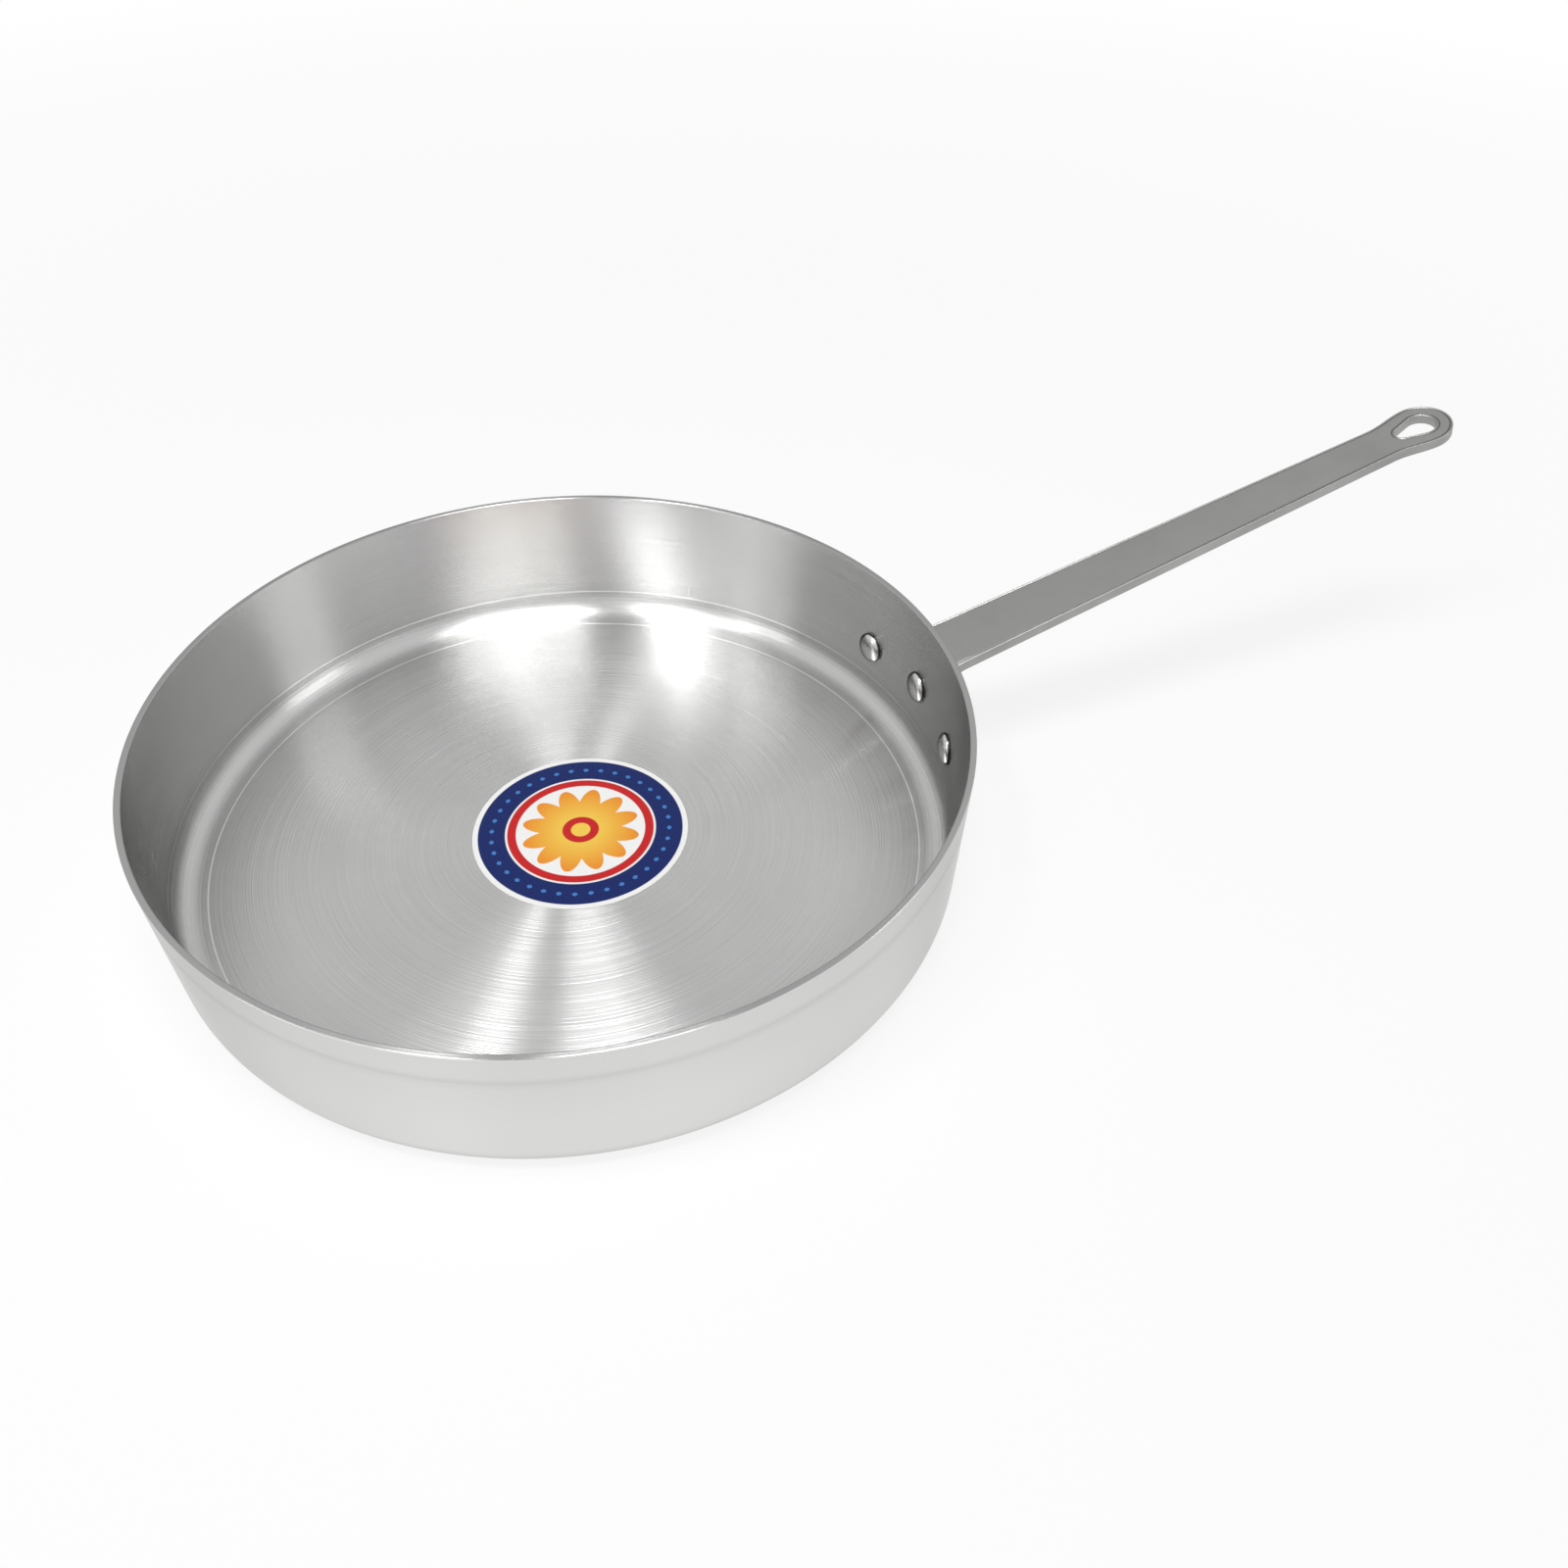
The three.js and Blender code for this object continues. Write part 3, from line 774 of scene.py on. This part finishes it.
class HandlePath:
    """Centre line of the handle strip: up the wall, round the bend and out along the bar."""

    def __init__(self, v, h):
        self.h = h
        self.wall_way = Vector((math.sin(v.draft), math.cos(v.draft)))
        self.bar_way = Vector((math.cos(h.rise), math.sin(h.rise)))
        self.wall_face = Vector((-self.wall_way.y, self.wall_way.x))
        self.bar_face = Vector((-self.bar_way.y, self.bar_way.x))
        half = h.thickness / 2
        self.foot = Vector((outer_radius(v, h.low), h.low)) - self.wall_face * (h.seat_gap + half)
        mark = Vector((v.rim_radius, v.height - h.drop)) - self.bar_face * half
        gap = mark - self.foot
        run = gap.cross(self.bar_way) / self.wall_way.cross(self.bar_way)
        crossing = self.foot + self.wall_way * run
        turn_angle = math.pi / 2 - v.draft - h.rise
        self.bend = h.bend + half
        bend_run = self.bend * math.tan(turn_angle / 2)
        self.bend_start = run - bend_run
        self.bar_start = self.bend_start + self.bend * turn_angle
        self.bend_centre = self.foot + self.wall_way * self.bend_start - self.wall_face * self.bend
        self.bar_entry = crossing + self.bar_way * bend_run
        self.tip = self.bar_start + (mark - self.bar_entry).dot(self.bar_way) + h.reach
        self.eye = self.tip - h.eye_radius
        self.flare = self.eye - h.flare

    def at(self, s):
        """Point in the upright plane and the way the upper face looks, at a station."""
        if s <= self.bend_start:
            return self.foot + self.wall_way * s, self.wall_face
        if s >= self.bar_start:
            return self.bar_entry + self.bar_way * (s - self.bar_start), self.bar_face
        face = self.wall_face.copy()
        face.rotate(Matrix.Rotation(-(s - self.bend_start) / self.bend, 2))
        return self.bend_centre + face * self.bend, face

    def half_width(self, s):
        """Half of the strip's width at a station."""
        h = self.h
        arms = h.arm_span / 2
        shoulder_top = h.arm_height + h.shoulder
        if s < h.arm_corner:
            return arms - h.arm_corner + math.sqrt(h.arm_corner ** 2 - (h.arm_corner - s) ** 2)
        if s < h.arm_height:
            return arms
        root = h.root_width / 2
        if s < shoulder_top:
            return arms + (root - arms) * smooth(s, h.arm_height, shoulder_top)
        taper = min((s - shoulder_top) / (self.flare - shoulder_top), 1.0)
        bar = root + (h.neck_width / 2 - root) * taper
        if s <= self.flare:
            return bar
        if s <= self.eye:
            return bar + (h.eye_radius - bar) * smooth(s, self.flare, self.eye)
        return math.sqrt(max(h.eye_radius ** 2 - (s - self.eye) ** 2, 0.0))

    def bent(self, s, sideways, lift):
        """Place in space of a spot on the flat strip."""
        h = self.h
        spot, face = self.at(s)
        spot = spot + face * lift
        straight = smooth(s, h.arm_height + h.shoulder / 2, self.bar_start)
        curl = (1.0 - straight) / spot.x
        if curl < TINY:
            return Vector((spot.x, sideways, spot.y))
        swing = curl * sideways
        return Vector((spot.x - (1.0 - math.cos(swing)) / curl, math.sin(swing) / curl, spot.y))


def strip_outline(path):
    """Outline of the flat strip, from foot to tip on one side and back on the other."""
    h = path.h
    shoulder_top = h.arm_height + h.shoulder
    corner_turns = spread(0.0, math.pi / 2, CORNER_STATIONS + 1)
    eye_turns = spread(0.0, math.pi / 2, EYE_STATIONS + 1)[1:-1]
    stations = [h.arm_corner * (1.0 - math.cos(angle)) for angle in corner_turns]
    stations += spread(h.arm_height, shoulder_top, SHOULDER_STATIONS)
    stations += spread(shoulder_top + CUT_MARGIN, path.flare, BAR_STATIONS)[:-1]
    stations += spread(path.flare, path.eye, FLARE_STATIONS)
    stations += [path.eye + h.eye_radius * math.sin(angle) for angle in eye_turns]
    right = [(s, -path.half_width(s)) for s in stations]
    left = [(s, -w) for s, w in reversed(right)]
    return [*right, (path.tip, 0.0), *left]


def hole_outline(path):
    """Drop-shaped hanging hole, round at the far end and narrower toward the pan."""
    h = path.h
    lean = math.asin((h.hole_big - h.hole_small) / h.hole_span)
    quarter = math.pi / 2
    big_centre = (path.eye, 0.0)
    small_centre = (path.eye - h.hole_span, 0.0)
    wide = arc(big_centre, h.hole_big, -(quarter + lean), quarter + lean, steps=40)
    narrow = arc(small_centre, h.hole_small, quarter + lean, 3 * quarter - lean, steps=20)
    return [*wide, *narrow]


def edge_section(h):
    """Section of the stamped edge, as inset and height pairs from the upper face to the lower one."""
    half = h.thickness / 2
    lip = h.edge + h.crease_inset
    upper = [(lip + 2 * h.crease_width, half), (lip + h.crease_width, half - h.crease_depth), (lip, half)]
    for angle in spread(0.0, math.pi / 2, EDGE_STEPS + 1):
        upper.append((h.edge * (1.0 - math.sin(angle)), half - h.edge * (1.0 - math.cos(angle))))
    lower = [(inset, -height) for inset, height in reversed(upper)]
    return [*upper, *lower]


def inset_outline(outline, inset):
    """The outline moved to its left by an inset."""
    sharpest = 0.5
    moved = []
    count = len(outline)
    for k in range(count):
        before, here, after = (Vector(outline[(k + step) % count]) for step in (-1, 0, 1))
        first = (here - before).normalized()
        second = (after - here).normalized()
        left = Vector((-first.y - second.y, first.x + second.x)).normalized()
        grow = inset / max(left.dot(Vector((-second.y, second.x))), sharpest)
        moved.append(here + left * grow)
    return moved


def flat_strip(path):
    """Flat stamped strip with creased, rounded edges: X along the strip, Y across it, Z through it."""
    strip = bmesh.new()
    # The crease rows are marked for painted shade
    mark = strip.verts.layers.float.new(CREASE)
    section = edge_section(path.h)
    creases = (1, len(section) - 2)
    borders = ([], [])
    for outline in (strip_outline(path), list(reversed(hole_outline(path)))):
        rows = []
        for step, (inset, height) in enumerate(section):
            row = [strip.verts.new((spot.x, spot.y, height)) for spot in inset_outline(outline, inset)]
            for vert in row:
                vert[mark] = 1.0 if step in creases else 0.0
            rows.append(row)
        count = len(outline)
        for upper, lower in zip(rows, rows[1:]):
            for k in range(count):
                nxt = (k + 1) % count
                strip.faces.new((upper[k], lower[k], lower[nxt], upper[nxt]))
        for border, row in zip(borders, (rows[0], rows[-1])):
            border += [strip.edges.get((row[k], row[(k + 1) % count])) for k in range(count)]
    for border, normal in zip(borders, ((0.0, 0.0, 1.0), (0.0, 0.0, -1.0))):
        bmesh.ops.triangle_fill(strip, edges=border, use_beauty=True, normal=normal)
    return strip


def cut_across(strip, spot, normal, reach):
    """Cut the strip's faces along a plane, as far along it as the reach."""
    faces = [f for f in strip.faces if min(vert.co.x for vert in f.verts) < reach]
    geometry = {item for f in faces for item in (f, *f.edges, *f.verts)}
    bmesh.ops.bisect_plane(strip, geom=list(geometry), dist=TINY, plane_co=spot, plane_no=normal)


class SAUTE_OT_handle(bpy.types.Operator):
    """Stamp the handle flat, then bend it to the wall"""

    bl_idname = "saute.handle"
    bl_label = "Build Handle"

    def execute(self, context):
        settings = context.scene.saute_pan
        path = HandlePath(settings.vessel, settings.handle)
        strip = flat_strip(path)
        bend_end = path.bar_start + CUT_MARGIN
        for s in spread(CUT_MARGIN, bend_end, BEND_CUTS):
            cut_across(strip, (s, 0.0, 0.0), (1.0, 0.0, 0.0), bend_end)
        seat_end = settings.handle.arm_span / 2 - 2 * CUT_MARGIN
        for w in spread(-seat_end, seat_end, SEAT_CUTS):
            cut_across(strip, (0.0, w, 0.0), (0.0, 1.0, 0.0), bend_end)
        for vert in strip.verts:
            vert.co = path.bent(vert.co.x, vert.co.y, vert.co.z)
        bmesh.ops.recalc_face_normals(strip, faces=strip.faces)
        mesh = bpy.data.meshes.new("handle_bar")
        strip.to_mesh(mesh)
        strip.free()
        mesh.shade_smooth()
        mesh.set_sharp_from_angle(angle=math.radians(40.0))
        piece = bpy.data.objects.new("handle_bar", mesh)
        context.scene.collection.objects.link(piece)
        weighted = piece.modifiers.new("even_faces", "WEIGHTED_NORMAL")
        weighted.keep_sharp = True
        piece.data.materials.append(satin_steel(settings.handle))
        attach(piece, "root")
        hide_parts("handle")
        return {"FINISHED"}


# Rivets

# Node, place along the wall in spacings, and share of the middle rivet's rise
RIVETS = (("rivet_left", 1.0, 0.0), ("rivet_middle", 0.0, 1.0), ("rivet_right", -1.0, 0.0))
HEAD_STEPS = 14
TAIL_STEPS = 12
TAIL_FULLNESS = 0.7
TUCK_SHARE = 0.4
# Share of the head's radius where the painted shade round its edge begins
SHADE_START = 0.975


def rivet_profile(v, h, r):
    """Domed head inside the pan, shank, and lower upset head behind the handle."""
    head = -r.clearance
    tail = v.wall + h.seat_gap + h.thickness + r.clearance
    spots = []
    for angle in spread(0.0, math.pi / 2, HEAD_STEPS + 1):
        rise = r.edge + (r.head_height - r.edge) * math.cos(angle)
        spots.append((r.head_radius * math.sin(angle), head - rise))
    tuck = r.edge * TUCK_SHARE
    spots.append((r.head_radius, head - tuck))
    spots.append((r.head_radius - tuck, head))
    spots.append((r.shank_radius, head))
    spots.append((r.shank_radius, tail))
    spots.append((r.tail_radius - tuck, tail))
    for angle in spread(0.0, math.pi / 2, TAIL_STEPS + 1):
        bulge = math.cos(angle) ** TAIL_FULLNESS
        spots.append((r.tail_radius * bulge, tail + tuck + (r.tail_height - tuck) * math.sin(angle)))
    return spots


def rivet_matrix(v, r, side, lift):
    """Place of a rivet: its axis square to the wall, zero at the wall's inner face."""
    z = r.height + lift * r.middle_rise
    around = side * r.spacing / inner_radius(v, r.height)
    outward = Vector((math.cos(v.draft), 0.0, -math.sin(v.draft)))
    sideways = Vector((0.0, 1.0, 0.0))
    upward = sideways.cross(outward)
    matrix = Matrix((upward, sideways, outward)).transposed().to_4x4()
    matrix.translation = (inner_radius(v, z), 0.0, z)
    return Matrix.Rotation(around, 4, "Z") @ matrix


class SAUTE_OT_rivets(bpy.types.Operator):
    """Set the solid rivets through the wall and the handle's seat"""

    bl_idname = "saute.rivets"
    bl_label = "Build Rivets"

    def execute(self, context):
        settings = context.scene.saute_pan
        v = settings.vessel
        r = settings.rivet
        finish = rivet_aluminium(r)
        profile = rivet_profile(v, settings.handle, r)
        for node, side, lift in RIVETS:
            points, faces = turned_shape(profile, r.steps)
            place = rivet_matrix(v, r, side, lift)
            placed = [place @ p for p in points]
            piece = piece_from(node + "_head", placed, faces, smooth_angle=math.radians(40.0))
            # Mark the head's outer edge for painted shade
            crease = piece.data.attributes.new(CREASE, "FLOAT", "POINT")
            for k, p in enumerate(points):
                crease.data[k].value = smooth(p.xy.length, r.head_radius * SHADE_START, r.head_radius)
            piece.data.materials.append(finish)
            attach(piece, "root")
            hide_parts(node)
        return {"FINISHED"}


# Label

LIP_SHARE = 0.4
LIP_STEPS = 4


def label_profile(p, low):
    """Underside, edge with a rounded lip, and top of the paper."""
    high = low + p.thickness
    edge = p.thickness * LIP_SHARE
    under = [(r, low) for r in spread(p.radius * FIRST_ROW, p.radius - edge, 6)]
    lip = arc((p.radius - edge, high - edge), edge, 0.0, math.pi / 2, LIP_STEPS)
    top = [(r, high) for r in spread(p.radius - 2 * edge, p.radius * LAST_ROW, 8)]
    return [(0.0, low), *under, (p.radius, low + edge), *lip, *top, (0.0, high)]


class SAUTE_OT_label(bpy.types.Operator):
    """Lay the round printed label on the floor"""

    bl_idname = "saute.label"
    bl_label = "Build Label"

    def execute(self, context):
        p = context.scene.saute_pan.label
        centre = (Vector(LABEL_LOW) + Vector(LABEL_HIGH)) / 2
        points, faces = turned_shape(label_profile(p, LABEL_LOW[2]), p.steps)
        shift = Vector((centre.x, centre.y, 0.0))
        placed = [q + shift for q in points]
        piece = piece_from("label_disc", placed, faces, smooth_angle=math.radians(50.0))
        piece.data.materials.append(printed_paper(p, centre))
        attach(piece, "root")
        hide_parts("label")
        return {"FINISHED"}


# Stage

LAMPS = (
    # name, share of its place toward the camera and to the camera's left, width, length, watts
    ("above_right", 0.22, -0.20, 0.16, 0.5, 2.3),
    ("above_middle", 0.16, -0.012, 0.37, 0.42, 9.0),
    ("above_left", 0.15, 0.348, 0.20, 0.4, 7.4),
    ("above_far_left", 0.15, 0.54, 0.30, 0.4, 1.8),
    ("front_right", 0.47, -0.15, 0.32, 0.7, 1.0),
    ("front_left", 0.47, 0.42, 0.20, 0.7, 1.0),
    ("side_left", 0.27, 0.84, 0.30, 0.5, 1.5),
    ("side_right", 0.23, -0.85, 0.42, 0.5, 1.76),
)
# Level ways toward the camera and to the camera's left
NEARER = Vector((-0.191, -0.982, 0.0))
LEFTWARD = Vector((-0.982, 0.191, 0.0))


def white_floor(s):
    """White floor to the camera and in metal, with a soft shadow that fades with distance."""
    n = Finish("white_floor")
    n.give("Base Color", s.floor_paint)
    n.give("Roughness", 0.9)
    n.give("Specular IOR Level", 0.0)
    glow = n.add("ShaderNodeEmission")
    glow.inputs["Strength"].default_value = 1.0
    shadow_full = 0.3 * s.shadow_reach
    plain = n.ramp(n.vectors("LENGTH", n.place()), shadow_full, s.shadow_reach, s.floor_white, 1.0)
    blend = n.add("ShaderNodeMixShader")
    n.join(n.maths("MULTIPLY", seen_directly(n), plain), blend.inputs["Fac"])
    n.join(n.shader.outputs["BSDF"], blend.inputs[1])
    n.join(glow.outputs["Emission"], blend.inputs[2])
    n.join(blend.outputs["Shader"], n.output.inputs["Surface"])
    return n.material


def seen_directly(n):
    """One for camera, glossy and transmission rays, zero for the rest."""
    path = n.add("ShaderNodeLightPath")
    seen = n.maths("MAXIMUM", path.outputs["Is Camera Ray"], path.outputs["Is Glossy Ray"])
    return n.maths("MAXIMUM", seen, path.outputs["Is Transmission Ray"])


def pale_room(s):
    """World: white to the camera, soft light on matt surfaces and a dimmer middle in metal."""
    world = bpy.data.worlds.new("pale_room")
    world.use_nodes = True
    n = Nodes(world.node_tree)
    path = n.add("ShaderNodeLightPath")
    place = n.add("ShaderNodeTexCoord").outputs["Generated"]
    rise = turned_toward(n, place, (0.0, 0.0, 1.0), low=0.05, high=0.30)
    aside = turned_toward(n, place, LEFTWARD, low=0.10, high=0.50)
    upper = n.mix(aside, s.room_middle, s.room_sides, kind="FLOAT")
    in_metal = n.mix(rise, s.room_low, upper, kind="FLOAT")
    on_surfaces = n.mix(path.outputs["Is Glossy Ray"], s.room_matt, in_metal, kind="FLOAT")
    seen = n.maths("MAXIMUM", path.outputs["Is Camera Ray"], path.outputs["Is Transmission Ray"])
    background = n.add("ShaderNodeBackground")
    background.inputs["Color"].default_value = (1.0, 1.0, 1.0, 1.0)
    n.join(n.mix(seen, on_surfaces, 1.0, kind="FLOAT"), background.inputs["Strength"])
    output = n.add("ShaderNodeOutputWorld")
    n.join(background.outputs["Background"], output.inputs["Surface"])
    return world


def turned_toward(n, place, way, low, high):
    """Zero to one as a direction turns toward a way or its opposite."""
    toward = n.maths("ABSOLUTE", n.vectors("DOT_PRODUCT", place, way))
    return n.ramp(toward, low, high, 0.0, 1.0, shape="SMOOTHSTEP")


def looking(azimuth, elevation):
    """Unit direction from the pan toward a viewer at an azimuth and elevation."""
    flat = math.cos(elevation)
    return Vector((math.sin(azimuth) * flat, -math.cos(azimuth) * flat, math.sin(elevation)))


def add_lamp(distance, name, nearer, leftward, width, length_along, watts):
    """A soft rectangular lamp that faces the pan, its long side running toward the camera."""
    flat = NEARER * nearer + LEFTWARD * leftward
    way = flat + Vector((0.0, 0.0, math.sqrt(1.0 - flat.length_squared)))
    lamp = bpy.data.lights.new(name, "AREA")
    lamp.shape = "RECTANGLE"
    lamp.size = length_along
    lamp.size_y = width
    lamp.energy = watts
    panel = bpy.data.objects.new(name, lamp)
    panel.visible_camera = False
    along = (NEARER - way * NEARER.dot(way)).normalized()
    panel.matrix_world = Matrix((along, way.cross(along), way)).transposed().to_4x4()
    panel.location = way * distance
    bpy.context.scene.collection.objects.link(panel)


def add_camera(s):
    """Camera at the photograph's viewing angle."""
    data = bpy.data.cameras.new("camera")
    data.lens = s.lens
    data.sensor_width = 36.0
    data.clip_start = 0.01
    data.clip_end = 50.0
    camera = bpy.data.objects.new("camera", data)
    back = looking(s.azimuth, s.elevation)
    right = Vector((math.cos(s.azimuth), math.sin(s.azimuth), 0.0))
    upward = back.cross(right)
    straight = math.cos(s.roll)
    tilted = math.sin(s.roll)
    across = right * straight + upward * tilted
    along = upward * straight - right * tilted
    camera.matrix_world = Matrix((across, along, back)).transposed().to_4x4()
    camera.location = s.spot
    bpy.context.scene.collection.objects.link(camera)
    bpy.context.scene.camera = camera


class SAUTE_OT_stage(bpy.types.Operator):
    """Lay the white floor and set the lamps, the room and the camera"""

    bl_idname = "saute.stage"
    bl_label = "Set Stage"

    def execute(self, context):
        s = context.scene.saute_pan.stage
        half = s.floor_size / 2
        corners = [(-half, -half), (half, -half), (half, half), (-half, half)]
        drop = -0.05 * MM
        mesh = bpy.data.meshes.new("floor")
        mesh.from_pydata([(x, y, drop) for x, y in corners], [], [(0, 1, 2, 3)])
        floor = bpy.data.objects.new("floor", mesh)
        floor.data.materials.append(white_floor(s))
        context.scene.collection.objects.link(floor)
        for lamp in LAMPS:
            add_lamp(s.lamp_distance, *lamp)
        context.scene.world = pale_room(s)
        context.scene.view_settings.view_transform = "Standard"
        add_camera(s)
        return {"FINISHED"}


class SAUTE_PT_panel(bpy.types.Panel):
    """Sizes and builders of the pan"""

    bl_idname = "SAUTE_PT_panel"
    bl_label = "Saute Pan"
    bl_space_type = "VIEW_3D"
    bl_region_type = "UI"
    bl_category = "Saute Pan"

    def draw(self, context):
        settings = context.scene.saute_pan
        groups = (
            (settings.vessel, SAUTE_OT_vessel),
            (settings.handle, SAUTE_OT_handle),
            (settings.rivet, SAUTE_OT_rivets),
            (settings.label, SAUTE_OT_label),
            (settings.stage, SAUTE_OT_stage),
        )
        for group, builder in groups:
            box = self.layout.box()
            for key in group.__annotations__:
                box.prop(group, key)
            box.operator(builder.bl_idname)


CLASSES = (
    VesselSizes,
    HandleSizes,
    RivetSizes,
    LabelSizes,
    StageSettings,
    SautePanSettings,
    SAUTE_OT_vessel,
    SAUTE_OT_handle,
    SAUTE_OT_rivets,
    SAUTE_OT_label,
    SAUTE_OT_stage,
    SAUTE_PT_panel,
)


def register():
    for cls in CLASSES:
        bpy.utils.register_class(cls)
    bpy.types.Scene.saute_pan = PointerProperty(type=SautePanSettings)


def unregister():
    del bpy.types.Scene.saute_pan
    for cls in reversed(CLASSES):
        bpy.utils.unregister_class(cls)


def main():
    """Register the add-on, and build the pieces and the stage."""
    register()
    bpy.ops.saute.vessel()
    bpy.ops.saute.handle()
    bpy.ops.saute.rivets()
    bpy.ops.saute.label()
    bpy.ops.saute.stage()


if __name__ == "__main__":
    main()
